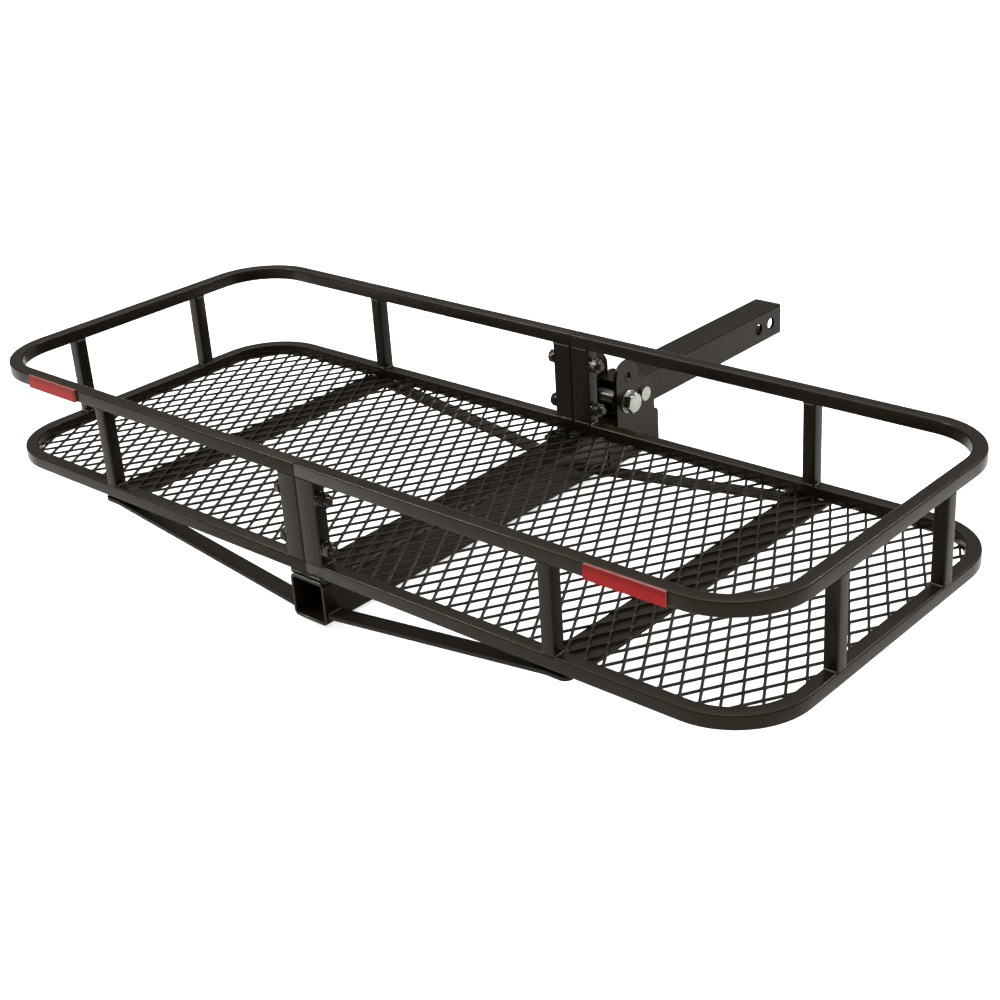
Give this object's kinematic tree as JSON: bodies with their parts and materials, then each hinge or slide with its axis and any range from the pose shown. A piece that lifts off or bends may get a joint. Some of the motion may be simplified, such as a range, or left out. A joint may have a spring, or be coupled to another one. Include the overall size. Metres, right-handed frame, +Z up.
{
  "type": "hitch cargo carrier",
  "caption": "Folding hitch cargo carrier: a two-half steel basket with a raised expanded-metal floor and rail, hinged to a square receiver shank.",
  "frame": {"origin": "centre of the hitch pin hole in the shank, midway between its side walls", "axes": "+Y along the shank toward the vehicle, +X to the right when looking along +Y, +Z up"},
  "size_m": [1.346, 1.042, 0.2194],
  "materials": {
    "frame_black": "satin powder coat",
    "shank_black": "satin powder coat",
    "mesh_black": "satin powder coat",
    "zinc": "bright zinc plate",
    "black_fastener": "black zinc",
    "bush_steel": "turned steel",
    "reflector_red": "prismatic reflective tape"
  },
  "bodies": {
    "hitch_shank": {"shank_tube": "shank_black", "pivot_bush": "bush_steel"},
    "lock_pin": {"lock_pin": "zinc"},
    "tray": {"back_left_brace": "frame_black", "back_left_post": "frame_black", "back_left_seam_post": "frame_black", "back_right_brace": "frame_black", "back_right_post": "frame_black", "back_right_seam_post": "frame_black", "back_saddle_plate": "frame_black", "floor_bolts": "black_fastener", "floor_nuts": "black_fastener", "floor_washers": "black_fastener", "front_left_brace": "frame_black", "front_left_post": "frame_black", "front_left_seam_post": "frame_black", "front_right_brace": "frame_black", "front_right_post": "frame_black", "front_right_seam_post": "frame_black", "front_saddle_plate": "frame_black", "left_bottom_rail": "frame_black", "left_ear_plate": "frame_black", "left_end_back_post": "frame_black", "left_end_front_post": "frame_black", "left_floor_mesh": "mesh_black", "left_floor_strap": "frame_black", "left_reflector": "reflector_red", "left_top_rail": "frame_black", "main_tube": "frame_black", "pivot_bolt": "zinc", "pivot_head_washer": "zinc", "pivot_nut": "zinc", "pivot_nut_washer": "zinc", "right_bottom_rail": "frame_black", "right_ear_plate": "frame_black", "right_end_back_post": "frame_black", "right_end_front_post": "frame_black", "right_floor_mesh": "mesh_black", "right_floor_strap": "frame_black", "right_reflector": "reflector_red", "right_top_rail": "frame_black", "seam_bolts": "black_fastener", "seam_nuts": "black_fastener", "seam_washers": "black_fastener"}
  },
  "joints": [
    {"name": "tray_fold", "type": "hinge", "parent": "hitch_shank", "child": "tray", "pos_m": [0, -0.354, 0], "axis": [-1, 0, 0], "range_deg": [0, 90]},
    {"name": "lock_pin_pull", "type": "slide", "parent": "tray", "child": "lock_pin", "axis": [1, 0, 0], "range_m": [0, 0.1]}
  ]
}
